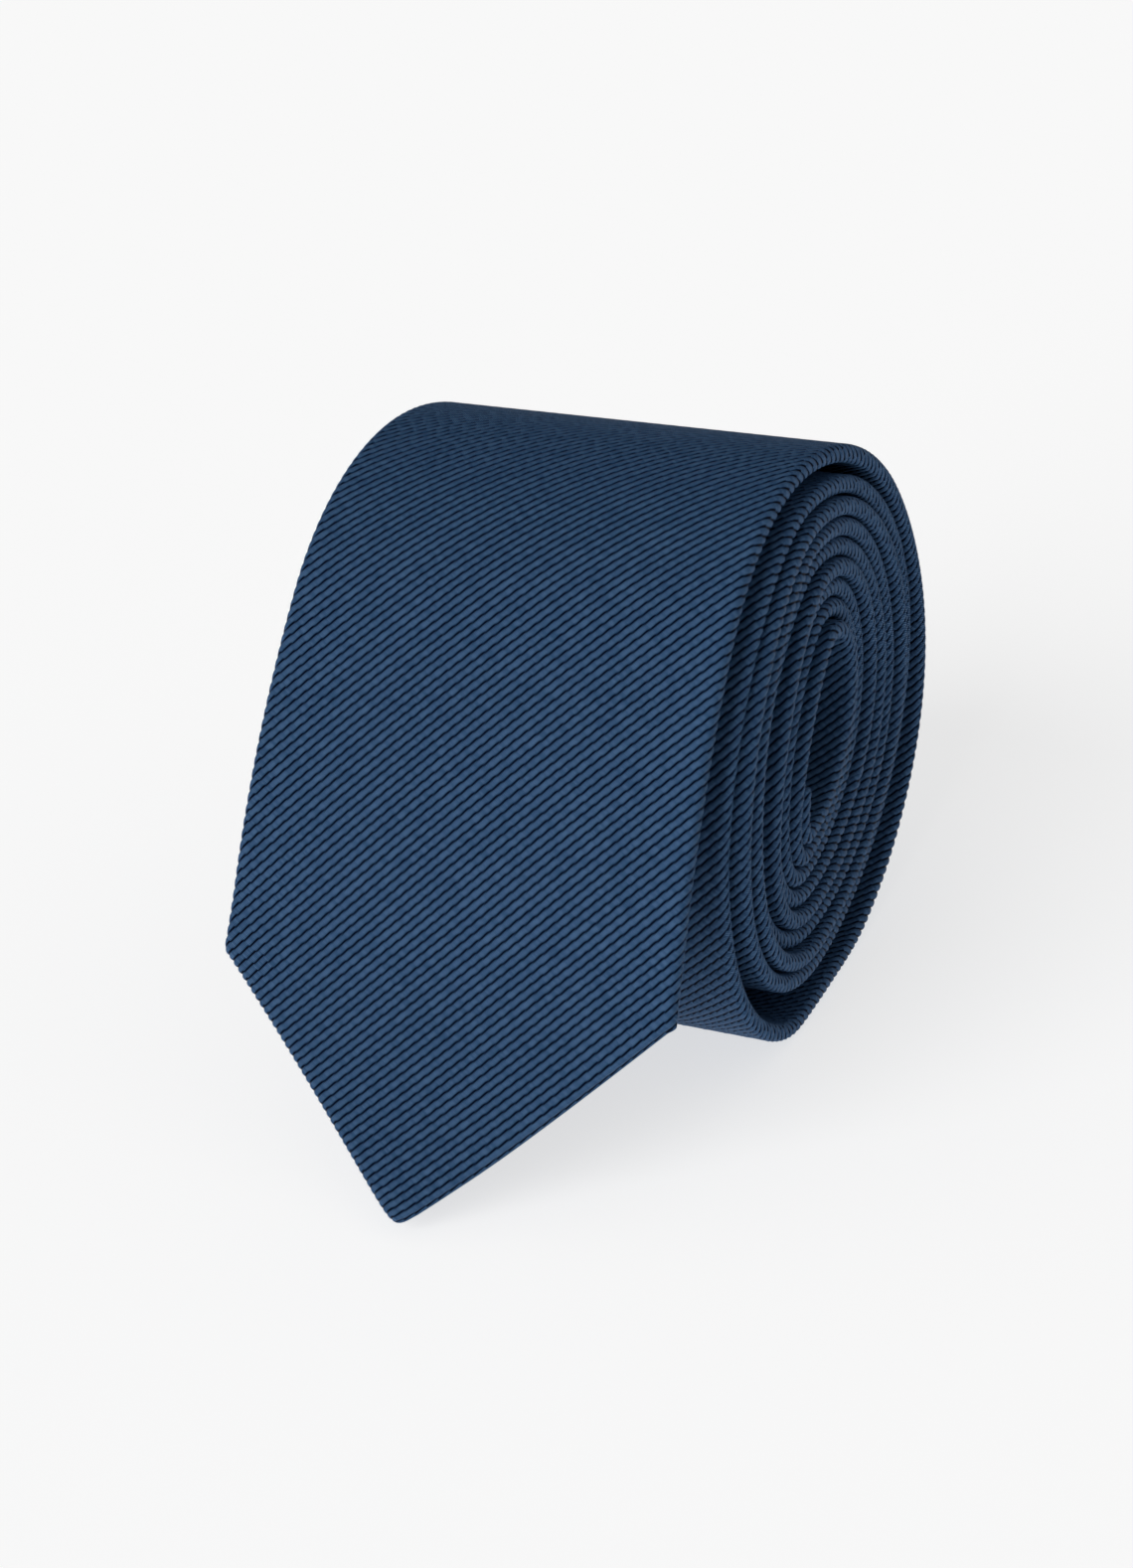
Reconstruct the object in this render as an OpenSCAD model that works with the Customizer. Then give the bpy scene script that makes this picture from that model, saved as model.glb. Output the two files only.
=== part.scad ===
// A lined necktie rolled from its tail, with the pointed blade hanging down in front of the roll.
// X runs along the roll, the blade hangs towards -Y, and the roll rests on Z = 0.

/* [Tie] */
// Width of the blade at its shoulders
blade_w = 65; // [58:1:72]
// Width of the neck, the narrowest stretch
neck_w = 30; // [26:1:34]
// Width of the tail at its shoulders
tail_w = 38; // [34:1:44]
// Distance over which the blade narrows to the neck
blade_run = 690; // [620:10:760]
// Distance over which the tail narrows to the neck
tail_run = 330; // [250:10:400]
// Width of the folded hem along the pointed ends, measured across the tie
hem_w = 12; // [8:1:14]
// Distance from the blade's point to the top of its open V
blade_v = 82; // [76:1:88]
// Distance from the tail's point to the top of its open V
tail_v = 52; // [46:1:60]
// How far each back flap laps past the middle
flap_lap = 4; // [2:0.5:6]

/* [Layers] */
// Thickness of the whole folded tie
tie_t = 2.4; // [2.4:0.05:2.5]
// Thickness of the face fabric
cloth_t = 0.3; // [0.25:0.01:0.3]
// Thickness of the wool interlining
wool_t = 0.9; // [0.7:0.05:0.9]
// Thickness of the tipping
tipping_t = 0.12; // [0.08:0.01:0.12]
// Clearance between the layers
ease = 0.05; // [0.04:0.005:0.06]
// Thickness of the sewing thread
thread_t = 0.15; // [0.1:0.01:0.15]

/* [Roll] */
// Number of turns
turns = 9; // [6:1:10]
// Half the height of the innermost turn
core_half_h = 10.3; // [9.5:0.1:12]
// Growth of the half height with each turn
pitch_up = 3.1; // [3.05:0.05:3.4]
// Reach of the innermost turn towards the front
core_front = 2.3; // [2:0.1:3]
// Growth of the front reach with each turn
pitch_front = 3.55; // [3.5:0.05:3.8]
// Reach of the innermost turn towards the back
core_back = 10.2; // [9.5:0.1:11]
// Growth of the back reach with each turn
pitch_back = 3.9; // [3.9:0.05:4.2]
// How much narrower the roll is at the top than at the bottom
pear = 0.12; // [0.05:0.01:0.13]
// Backward lean of the innermost turn
core_lean = 0.5; // [0.2:0.05:0.5]
// Extra drop of the outer turn under its own weight
sag = 4.6; // [3:0.1:6]
// Depth by which the floor flattens the outer turn
floor_press = 1.6; // [1.5:0.1:2]

/* [Hanging blade] */
// Radius over the front of the roll
brow_r = 34.5; // [30:0.5:38]
// Slope where the blade leaves the roll's curve
brow_angle = 51; // [48:0.5:56]
// Steepest slope, just above the flare
steep_angle = 66.5; // [64:0.5:70]
// Radius of the slow flare towards the point
flare_r = 95; // [70:1:110]
// Slope of the point where it meets the floor
point_angle = 42; // [36:1:50]
// Distance from the point to the bend line where the blade lifts
bend_d = 95; // [93:1:98]

/* [Trim] */
// Distance from the point to the keeper loop
keeper_d = 180; // [175:1:185]
// Width of the keeper loop's band
keeper_w = 11; // [8:1:12]
// Distance from the point to the label
label_d = 200; // [198:1:205]
// Length of the label along the tie
label_len = 32; // [20:1:35]
// Width of the label across the tie
label_w = 40; // [30:1:44]
// Turn, counted from the outside, of the seam between blade and neck
blade_seam_turn = 3.5; // [3.3:0.05:3.7]
// Turn, counted from the outside, of the seam between neck and tail
tail_seam_turn = 5.25; // [5:0.05:5.5]

/* [Hidden] */

facets_per_turn = 24;
tip_d = 0.6;
body_gap = 0.3;
seam_gap = 0.2;
floor_ease = 0.15;
fold_cut = 0.6;
half_t = tie_t / 2;

navy = [0.13, 0.22, 0.34];
wool = [0.86, 0.84, 0.78];
lining = [0.10, 0.16, 0.26];
thread = [0.16, 0.27, 0.42];
ribbon = [0.05, 0.07, 0.12];

// ---- The path of the tie's middle surface, seen along X ----

// Height of the roll's middle, so that the outer turn meets the floor
roll_z = half_t + core_half_h + pitch_up * (turns - 0.5) + sag - floor_press;

// Point of the roll after "wound" turns, counted inwards from its top
function roll_point(wound) =
    let (
        left = turns - wound,
        angle = 90 - 360 * wound,
        side = cos(angle),
        up = sin(angle),
        reach = side > 0 ? core_back + pitch_back * left : core_front + pitch_front * left,
        half_h = core_half_h + pitch_up * left,
        lean = core_lean * pow(wound / turns, 2),
        drop = wound < 1 ? sag * pow(sin(180 * wound), 2) : 0
    )
    [reach * side * (1 - pear * up) + lean * half_h * up, max(roll_z + half_h * up - drop, half_t)];

// Direction of the roll's surface there, turning on past -180 degrees from turn to turn
function roll_heading(wound) =
    let (
        step = roll_point(wound + 0.001) - roll_point(wound - 0.001),
        heading = atan2(step[1], step[0])
    )
    wound <= 0 ? 0 : heading - 360 * round((360 * wound + heading) / 360);

// The hanging blade is three arcs: over the brow, a long slow one, and the flare at the point
brow = roll_point(0);
brow_len = brow_r * brow_angle * PI / 180;
brow_end = brow + brow_r * [-sin(brow_angle), cos(brow_angle) - 1];
flare_drop = flare_r * (cos(point_angle) - cos(steep_angle));
point_z = half_t * cos(point_angle) + floor_ease;
slow_r = (brow_end[1] - flare_drop - point_z) / (cos(brow_angle) - cos(steep_angle));
slow_len = slow_r * (steep_angle - brow_angle) * PI / 180;
slow_end = brow_end + slow_r * [sin(brow_angle) - sin(steep_angle), cos(steep_angle) - cos(brow_angle)];
flare_len = flare_r * (steep_angle - point_angle) * PI / 180;
free_len = brow_len + slow_len + flare_len;

// Position and heading of the hanging blade at a distance from the point
function hanging(d) =
    let (
        up = free_len - d,
        on_brow = up / brow_r * 180 / PI,
        on_slow = brow_angle + (up - brow_len) / slow_r * 180 / PI,
        on_flare = steep_angle - (up - brow_len - slow_len) / flare_r * 180 / PI
    )
    up < brow_len ? [brow + brow_r * [-sin(on_brow), cos(on_brow) - 1], on_brow]
    : up < brow_len + slow_len
        ? [brow_end + slow_r * [sin(brow_angle) - sin(on_slow), cos(on_slow) - cos(brow_angle)], on_slow]
        : [slow_end + flare_r * [sin(on_flare) - sin(steep_angle), cos(steep_angle) - cos(on_flare)], on_flare];

// Distance from the point, along the tie, at each facet of the roll
roll_facets = turns * facets_per_turn;
wound_table = [
    for (i = 0, d = free_len; i <= roll_facets;
        d = d + norm(roll_point((i + 1) / facets_per_turn) - roll_point(i / facets_per_turn)), i = i + 1)
    [i / facets_per_turn, d]
];
tie_len = wound_table[roll_facets][1];

// The frame's origin is under the middle of the whole object
back_y = max([for (row = wound_table) if (row[0] <= 1) roll_point(row[0])[0]]) + half_t;
front_y = hanging(0)[0][0];
shift_y = -(back_y + front_y) / 2;

// A station is [y, z, heading, distance from the point]
function hanging_station(d) =
    let (pose = hanging(d)) [pose[0][0] + shift_y, pose[0][1], pose[1], d];
function roll_station(wound) =
    let (at = roll_point(wound)) [at[0] + shift_y, at[1], roll_heading(wound), lookup(wound, wound_table)];

// One station every few millimetres where the blade hangs, and one at every facet of the roll
hang_step = blade_w / 16;
fixed_stations = concat(
    [for (d = [0 : hang_step : free_len - hang_step / 2]) hanging_station(d)],
    [for (row = wound_table) roll_station(row[0])]
);
y_table = [for (at = fixed_stations) [at[3], at[0]]];
z_table = [for (at = fixed_stations) [at[3], at[1]]];
heading_table = [for (at = fixed_stations) [at[3], at[2]]];

// A station in between lies on the straight facet, so that all layers share their facets
function station(d) = [lookup(d, y_table), lookup(d, z_table), lookup(d, heading_table), d];
function stations(from, to) = concat(
    [station(from)],
    [for (at = fixed_stations) if (at[3] > from + 0.5 && at[3] < to - 0.5) at],
    [station(to)]
);

// ---- Sizes across the tie ----

shoulder = blade_w / 2;
tail_shoulder = tie_len - tail_w / 2;
function tie_width(d) =
    d < shoulder ? 2 * d
    : d > tail_shoulder ? 2 * (tie_len - d)
    : max(
        neck_w,
        blade_w - (blade_w - neck_w) * (d - shoulder) / blade_run,
        tail_w - (tail_w - neck_w) * (tail_shoulder - d) / tail_run
    );

// The right edges of all the turns are in line, so the middle moves right as the tie narrows
function middle(d) =
    d < shoulder ? 0
    : (blade_w - (d > tail_shoulder ? tail_w : tie_width(d))) / 2;

// Half the width of the open V at a pointed end; negative where the flaps lap over each other
function v_half(from_point, width, v_len) =
    min(from_point - hem_w, (v_len - from_point) * (width / 2 - hem_w) / (v_len - width / 2));
function flap_half(d) = max(
    -min(flap_lap, 0.15 * tie_width(d)),
    v_half(d, blade_w, blade_v),
    v_half(tie_len - d, tail_w, tail_v)
);

// ---- Outlines across the tie, as [x, height above the middle surface] ----

right_flap_out = -half_t + cloth_t + thread_t + 2 * ease;
right_flap_in = right_flap_out + cloth_t;
face_in = half_t - cloth_t;
wool_top = face_in - ease;
wool_bottom = wool_top - wool_t;
tipping_top = wool_bottom - ease;
tipping_bottom = tipping_top - tipping_t;

// The face fabric: over the front, round both folds and back to the middle behind
function shell_outline(d) =
    let (
        half_w = tie_width(d) / 2,
        cut = min(fold_cut, half_w / 4),
        wall = min(cloth_t + 0.3, half_w / 3),
        left = middle(d) - half_w,
        right = middle(d) + half_w,
        left_flap = middle(d) - flap_half(d),
        right_flap = middle(d) + flap_half(d)
    )
    [
        [left + cut, half_t], [left, half_t - cut], [left, cut - half_t], [left + cut, -half_t],
        [left_flap, -half_t], [left_flap, cloth_t - half_t], [left + wall, cloth_t - half_t],
        [left + wall, face_in], [right - wall, face_in], [right - wall, right_flap_in],
        [right_flap, right_flap_in], [right_flap, right_flap_out], [right - cut, right_flap_out],
        [right, right_flap_out + cut], [right, half_t - cut], [right - cut, half_t]
    ];

// A flat strip between two edges and two heights
function strip(left, right, low, high) = [[left, high], [left, low], [right, low], [right, high]];
function inset_strip(d, inset, low, high) =
    let (half_w = tie_width(d) / 2 - inset)
    strip(middle(d) - half_w, middle(d) + half_w, low, high);
function centred_strip(d, width, low, high) =
    strip(middle(d) - width / 2, middle(d) + width / 2, low, high);
function side_strip(d, offset, width, low, high) =
    strip(middle(d) + offset - width / 2, middle(d) + offset + width / 2, low, high);

// Sweeps an outline along the path between two distances from the point
module sweep(from, to, outline) {
    path = stations(from, to);
    rings = [
        for (at = path)
        [for (q = outline(at[3])) [q[0], at[0] - q[1] * sin(at[2]), at[1] + q[1] * cos(at[2])]]
    ];
    sides = len(rings[0]);
    last = len(rings) - 1;
    faces = concat(
        [[for (k = [sides - 1 : -1 : 0]) k]],
        [
            for (i = [0 : last - 1], k = [0 : sides - 1])
            let (a = i * sides + k, b = i * sides + (k + 1) % sides)
            each [[a, b + sides, a + sides], [a, b, b + sides]]
        ],
        [[for (k = [0 : sides - 1]) last * sides + k]]
    );
    polyhedron([for (ring = rings) each ring], faces);
}

// ---- The hanging end of the blade ----

hang_end = bend_d - body_gap / 2;
roll_start = bend_d + body_gap / 2;
tack_d = blade_v + 4;

module blade_end_shell() {
    color(navy) sweep(tip_d, hang_end, function (d) shell_outline(d));
}

module blade_end_interlining() {
    color(wool) sweep(3, hang_end, function (d) inset_strip(d, 1.2, wool_bottom, wool_top));
}

module blade_tipping() {
    color(lining) sweep(6, blade_v + 8, function (d) inset_strip(d, 1.6, tipping_bottom, tipping_top));
}

// Two rows of thread that join the tipping to the folded flaps, along the open V
module tipping_seam(from, to) {
    top = tipping_bottom - 0.02;
    bottom = right_flap_in + 0.02;
    for (side = [-1, 1])
        sweep(from, to, function (d) side_strip(d, side * (flap_half(d) + 1.2), thread_t, bottom, top));
}

module blade_tipping_seam() {
    color(thread) tipping_seam(hem_w + 3, blade_v - 6);
}

// A bar of thread across the back, just above the open V
module bar_tack(d, width) {
    color(thread)
        sweep(d - 0.7, d + 0.7, function (at) centred_strip(at, width, -half_t - 0.22, -half_t - 0.02));
}

module blade_bar_tack() {
    bar_tack(tack_d, 10);
}

// ---- The rolled part ----

blade_seam_d = lookup(blade_seam_turn, wound_table);
tail_seam_d = lookup(tail_seam_turn, wound_table);
tail_tack_d = tie_len - tail_v - 4;

module rolled_shell(from, to) {
    color(navy) sweep(from, to, function (d) shell_outline(d));
}

module blade_shell() {
    rolled_shell(roll_start, blade_seam_d - seam_gap / 2);
}

module neck_shell() {
    rolled_shell(blade_seam_d + seam_gap / 2, tail_seam_d - seam_gap / 2);
}

module tail_shell() {
    rolled_shell(tail_seam_d + seam_gap / 2, tie_len - tip_d);
}

module interlining() {
    color(wool)
        sweep(roll_start, tie_len - 3, function (d) inset_strip(d, 1.2, wool_bottom, wool_top));
}

module tail_tipping() {
    color(lining)
        sweep(tie_len - tail_v - 8, tie_len - 6,
            function (d) inset_strip(d, 1.6, tipping_bottom, tipping_top));
}

module tail_tipping_seam() {
    color(thread) tipping_seam(tie_len - tail_v + 5, tie_len - hem_w - 3);
}

module tail_bar_tack() {
    bar_tack(tail_tack_d, 8);
}

// A flat band across the back of the blade, wide enough for the tail to pass under it
keeper_span = tail_w + 8;
keeper_t = 0.4;
keeper_top = -half_t - 0.1;
module keeper_loop() {
    color(navy)
        sweep(keeper_d, keeper_d + keeper_w,
            function (d) centred_strip(d, keeper_span, keeper_top - keeper_t, keeper_top));
}

// A row of thread on each end of the keeper loop
module keeper_stitches() {
    low = keeper_top - keeper_t - thread_t - 0.02;
    high = keeper_top - keeper_t - 0.02;
    color(thread)
        for (side = [-1, 1])
            sweep(keeper_d + 1, keeper_d + keeper_w - 1,
                function (d) side_strip(d, side * (keeper_span / 2 - 1.5), 0.8, low, high));
}

label_t = 0.25;
label_top = -half_t - 0.04;
module label() {
    color(ribbon)
        sweep(label_d, label_d + label_len,
            function (d) centred_strip(d, label_w, label_top - label_t, label_top));
}

// A short row of thread at each corner of the label
module label_stitches() {
    low = label_top - label_t - thread_t - 0.02;
    high = label_top - label_t - 0.02;
    color(thread)
        for (side = [-1, 1], at = [label_d + 1, label_d + label_len - 5])
            sweep(at, at + 4, function (d) side_strip(d, side * (label_w / 2 - 1.5), 0.8, low, high));
}

care_label_d = tail_tack_d - 62;
module care_label() {
    color(ribbon)
        sweep(care_label_d, care_label_d + 18,
            function (d) centred_strip(d, 16, -half_t - 0.16, -half_t - 0.04));
}

// The long loose stitch that closes the back, between the two flaps
module slip_stitch_thread() {
    low = cloth_t - half_t + ease;
    color(thread)
        sweep(roll_start + 1, tail_tack_d - 4, function (d) centred_strip(d, thread_t, low, low + thread_t));
}

// Thread between the cut edges of two panels, across the face
module panel_seam(d) {
    color(thread)
        sweep(d - 0.06, d + 0.06, function (at) inset_strip(at, 1, half_t - 0.25, half_t - 0.05));
}

module blade_neck_seam() {
    panel_seam(blade_seam_d);
}

module neck_tail_seam() {
    panel_seam(tail_seam_d);
}

blade_end_shell();
blade_end_interlining();
blade_tipping();
blade_tipping_seam();
blade_bar_tack();
blade_shell();
neck_shell();
tail_shell();
interlining();
tail_tipping();
tail_tipping_seam();
tail_bar_tack();
keeper_loop();
keeper_stitches();
label();
label_stitches();
care_label();
slip_stitch_thread();
blade_neck_seam();
neck_tail_seam();
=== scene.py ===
"""Looks of a necktie rolled from its tail, with the pointed blade hanging down in front of the roll.

The cloth is built from its flat pattern. A point of the pattern has two lengths in millimetres: "across" the
ribs and "along" them. The ribs run at 45 degrees to the tie, so both edges of the blade's point follow the
pattern's axes. Each row of vertices runs along a rib, round both folds of the tie.
"""

import math

import bmesh
import bpy
import numpy as np
from mathutils import Matrix, Vector


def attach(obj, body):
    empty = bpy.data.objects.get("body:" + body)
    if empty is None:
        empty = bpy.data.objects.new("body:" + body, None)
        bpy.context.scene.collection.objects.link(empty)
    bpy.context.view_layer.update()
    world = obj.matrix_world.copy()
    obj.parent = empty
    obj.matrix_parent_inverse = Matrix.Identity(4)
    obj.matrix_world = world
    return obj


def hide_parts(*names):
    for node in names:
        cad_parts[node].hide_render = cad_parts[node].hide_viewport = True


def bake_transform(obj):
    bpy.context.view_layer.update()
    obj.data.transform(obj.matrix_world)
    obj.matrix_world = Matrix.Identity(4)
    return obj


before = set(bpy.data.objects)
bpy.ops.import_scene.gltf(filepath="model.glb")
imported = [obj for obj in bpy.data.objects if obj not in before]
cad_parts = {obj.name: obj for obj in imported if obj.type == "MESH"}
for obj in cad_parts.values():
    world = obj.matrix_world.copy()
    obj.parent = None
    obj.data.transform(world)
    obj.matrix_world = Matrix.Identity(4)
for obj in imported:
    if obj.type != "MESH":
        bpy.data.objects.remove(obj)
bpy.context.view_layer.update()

MM = 0.001
ROOT2 = math.sqrt(2)

# ---- The tie's sizes in millimetres, as in the CAD source but for the core ----

BLADE_W, NECK_W, TAIL_W = 65.0, 30.0, 38.0
BLADE_RUN, TAIL_RUN = 690.0, 330.0
HEM_W, BLADE_V, TAIL_V, FLAP_LAP = 12.0, 82.0, 52.0, 4.0
HALF_T, CLOTH_T = 1.2, 0.3
TURNS = 9
CORE_HALF_H, PITCH_UP = 10.3, 3.1
CORE_FRONT, PITCH_FRONT = 2.3, 3.55
# The CAD has 10.2 and 3.9: here the core is narrower, and the outer turn is the same
CORE_BACK, PITCH_BACK = 8.6, 4.08
PEAR, CORE_LEAN, SAG, FLOOR_PRESS = 0.12, 0.5, 4.6, 1.6
BROW_R, BROW_ANGLE, STEEP_ANGLE, FLARE_R, POINT_ANGLE = 34.5, 51.0, 66.5, 95.0, 42.0
FLOOR_EASE = 0.15
CAD_FACETS_PER_TURN = 24
KEEPER_D, KEEPER_LEN, KEEPER_SPAN = 180.0, 11.0, 46.0
LABEL_D, LABEL_LEN, LABEL_W = 200.0, 32.0, 40.0
CARE_LEN, CARE_W, CARE_BEFORE_TACK = 18.0, 16.0, 62.0
BLADE_SEAM_TURN, TAIL_SEAM_TURN = 3.5, 5.25
TACK_ABOVE_V = 4.0

# ---- How the cloth looks ----

RIB_PITCH, RIB_DEPTH, RIB_START = 1.09, 0.26, 0.95
# How far a rib's round sides reach in, how full they are, and how much of it lies below the plain surface
RIB_FLANK, RIB_ROUNDNESS, RIB_SINK = 0.7, 0.55, 0.75
FOLD_R = 0.8
# The rolled tie is thicker along its middle, where it fills the gap to the next turn. It grows from nothing
# between two distances from the edge, and between two distances from the point
PUFF, PUFF_FROM, PUFF_TO = 0.55, 4.5, 11.0
PUFF_START, PUFF_FULL = 130.0, 170.0
# Beside the labels it grows between these distances
PUFF_CLEAR, PUFF_PAST_LABEL, PUFF_PAST_CARE = 10.0, 60.0, 40.0
TURN_GAP = 0.06
FLOOR_SOFTNESS = 0.5
# The hanging blade's right edge lies this far in from the roll's end, and comes out to it on top of the roll
BLADE_TRIM, TRIM_FROM, TRIM_TO = 2.1, 95.0, 145.0
# The outer turn stands off the next one at the top by this much more than the CAD says
TOP_DROP = 1.3
# The hanging end leans this much to the right, from this distance down, and its point is rounded
LEAN, LEAN_FROM, LEAN_REACH = 0.016, 75.0, 45.0
POINT_ROUNDING = 1.3
# The right edge of the point curls down by this much, from this far inside it, except at its very tip
CURL, CURL_REACH = 0.8, 4.0
CURL_FROM, CURL_TO = 3.0, 14.0
# How far right the edge of each turn lies where it passes the front, a quarter turn before it is whole.
# The first value holds on the outer turn until PASS_START
PASS_SHIFT = (0.0, -1.3, 0.0, 0.3, -1.1, 0.4, -0.9, -0.9, 0.3, 0.3)
PASS_START, PASS_BEFORE = 0.4, 0.25
# The edges also drift a little, from the top of the roll on
DRIFT, DRIFT_LENGTH, DRIFT_SEED = 0.25, 120, 7
DRIFT_FROM, DRIFT_TO = 120.0, 190.0

# The bend, between these distances from the point
BEND_START, BEND_END = 103.0, 88.0
# The blade's cloth is two meshes, the outer one with no body of its own. They meet under the roll after this
# part of a turn
CUT_TURN = 0.475


# ---- The path of the tie's middle surface: y and z in the frame, and distance from the point ----

ROLL_Z = HALF_T + CORE_HALF_H + PITCH_UP * (TURNS - 0.5) + SAG - FLOOR_PRESS


def smooth(value, low, high):
    """Rises smoothly from 0 at low to 1 at high."""
    t = np.clip((value - low) / (high - low), 0, 1)
    return t * t * (3 - 2 * t)


def roll_path(wound):
    """y and z of the roll's spiral after so many turns, counted inwards from the top of the outer turn."""
    left = TURNS - wound
    turn = np.radians(90 - 360 * wound)
    side, up = np.cos(turn), np.sin(turn)
    reach = np.where(side > 0, CORE_BACK + PITCH_BACK * left, CORE_FRONT + PITCH_FRONT * left)
    half_h = CORE_HALF_H + PITCH_UP * left
    lean = CORE_LEAN * (wound / TURNS) ** 2
    drop = np.where(wound < 1, SAG * np.sin(np.pi * wound) ** 2, 0)
    y = reach * side * (1 - PEAR * up) + lean * half_h * up
    lower = TOP_DROP * smooth(wound, 0.5, 1) * left / (TURNS - 1) * np.maximum(up, 0)
    height = ROLL_Z + half_h * up - drop - lower - HALF_T
    return y, HALF_T + FLOOR_SOFTNESS * np.logaddexp(0, height / FLOOR_SOFTNESS)


def arc(radius, start, end):
    """Step in y and z along an arc whose slope changes from start to end, in degrees, going down in front."""
    a, b = np.radians(start), np.radians(end)
    return -radius * (np.sin(b) - np.sin(a)), radius * (np.cos(b) - np.cos(a))


def hanging_path(step=0.25):
    """y, z and distance from the point of the hanging blade, from the point up to the roll."""
    top = np.array([float(v) for v in roll_path(np.array(0.0))])
    point_z = HALF_T * math.cos(math.radians(POINT_ANGLE)) + FLOOR_EASE
    brow = np.array(arc(BROW_R, 0, BROW_ANGLE))
    flare = -np.array(arc(FLARE_R, STEEP_ANGLE, POINT_ANGLE))
    unit = np.array(arc(1, BROW_ANGLE, STEEP_ANGLE))
    slow_r = (top[1] + brow[1] + flare[1] - point_z) / -unit[1]
    parts = [(BROW_R, 0, BROW_ANGLE), (slow_r, BROW_ANGLE, STEEP_ANGLE), (FLARE_R, STEEP_ANGLE, POINT_ANGLE)]
    y, z, up, at, begun = [top[0]], [top[1]], [0.0], top, 0.0
    for radius, start, end in parts:
        length = radius * math.radians(abs(end - start))
        slopes = np.linspace(start, end, int(length / step) + 2)[1:]
        sign = 1 if end > start else -1
        dy, dz = arc(radius, start, slopes)
        y += list(at[0] + sign * dy)
        z += list(at[1] + sign * dz)
        up += list(begun + radius * np.radians(np.abs(slopes - start)))
        at, begun = np.array([y[-1], z[-1]]), up[-1]
    return np.array(y)[::-1], np.array(z)[::-1], (up[-1] - np.array(up))[::-1]


STEPS_PER_TURN = 360
NO_TURN = 9.0


def neighbour_gap(y, z, way):
    """Distance from each point of the spiral to the next turn outwards (way -1) or inwards (way 1), or 0."""
    count = len(y)
    index = np.arange(count)
    gap = np.full(count, NO_TURN)
    search = STEPS_PER_TURN // 5
    for k in range(-search, search + 1, 2):
        other = index + way * STEPS_PER_TURN + k
        valid = (other >= 0) & (other < count)
        far = np.hypot(y[index[valid]] - y[other[valid]], z[index[valid]] - z[other[valid]])
        gap[valid] = np.minimum(gap[valid], far)
    return np.where(gap < NO_TURN, gap, 0)


def puff_room(s, roll_y, roll_z):
    """How much thicker the middle of the tie gets, on its outer side and on its inner side."""
    none = np.zeros(len(s) - len(roll_y))
    room = []
    for way in (-1, 1):
        gap = np.concatenate([none, neighbour_gap(roll_y, roll_z, way)])
        room.append(np.clip(gap / 2 - TURN_GAP - HALF_T, 0, PUFF) * smooth(s, PUFF_START, PUFF_FULL))
    # No puff behind the keeper, the label and the care label
    label_end, care_end = LABEL_D + LABEL_LEN, TAIL_V + CARE_BEFORE_TACK
    room[1] *= smooth(s, label_end + PUFF_CLEAR, label_end + PUFF_PAST_LABEL)
    room[1] *= smooth(s[-1] - s, care_end + PUFF_CLEAR, care_end + PUFF_PAST_CARE)
    return room


def build_path():
    """The whole path as arrays, with the room on both sides for the thicker middle of the tie."""
    hang_y, hang_z, hang_s = hanging_path()
    wound = np.arange(TURNS * STEPS_PER_TURN + 1) / STEPS_PER_TURN
    roll_y, roll_z = roll_path(wound)
    roll_s = hang_s[-1] + np.concatenate([[0], np.cumsum(np.hypot(np.diff(roll_y), np.diff(roll_z)))])
    y, z = np.concatenate([hang_y, roll_y[1:]]), np.concatenate([hang_z, roll_z[1:]])
    s = np.concatenate([hang_s, roll_s[1:]])
    facets = roll_path(np.arange(CAD_FACETS_PER_TURN + 1) / CAD_FACETS_PER_TURN)[0]
    y = y - (facets.max() + HALF_T + hang_y[0]) / 2
    ty, tz = np.gradient(y, s), np.gradient(z, s)
    size = np.hypot(ty, tz)
    outer, inner = puff_room(s, roll_y, roll_z)
    return {"s": s, "y": y, "z": z, "ty": ty / size, "tz": tz / size, "roll_s": roll_s, "wound": wound,
            "outer": outer, "inner": inner}


PATH = build_path()
TIE_LEN = PATH["s"][-1]


def path_at(s, key):
    return np.interp(s, PATH["s"], PATH[key])


def distance_at_turn(wound):
    return float(np.interp(wound, PATH["wound"], PATH["roll_s"]))


def wander(s, seed, length, amount):
    """A smooth random drift along the tie."""
    rng = np.random.default_rng(seed)
    total = np.zeros_like(np.asarray(s, float))
    for _ in range(4):
        wave, start = length * rng.uniform(0.6, 1.7), rng.uniform(0, 2 * math.pi)
        total += np.sin(2 * math.pi * s / wave + start)
    return amount * total / 2


# ---- Sizes across the tie ----

SHOULDER = (BLADE_W - BLADE_TRIM) / 2
TAIL_SHOULDER = TIE_LEN - TAIL_W / 2
BLADE_SEAM_D = distance_at_turn(BLADE_SEAM_TURN)
TAIL_SEAM_D = distance_at_turn(TAIL_SEAM_TURN)
TAIL_TACK_D = TIE_LEN - TAIL_V - TACK_ABOVE_V
CUT_D = distance_at_turn(CUT_TURN)


def trim(d):
    """How much narrower the tie is on the right: the hanging blade stays inside the roll's end."""
    return BLADE_TRIM * (1 - smooth(d, TRIM_FROM, TRIM_TO))


def side_width(d):
    """Width between the two long folds, running on straight past the shoulders of both pointed ends."""
    blade = BLADE_W - (BLADE_W - NECK_W) * np.maximum(d - SHOULDER, 0) / BLADE_RUN - trim(d)
    tail = TAIL_W - (TAIL_W - NECK_W) * np.maximum(TAIL_SHOULDER - d, 0) / TAIL_RUN
    return np.maximum(np.maximum(blade, tail), NECK_W)


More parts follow.
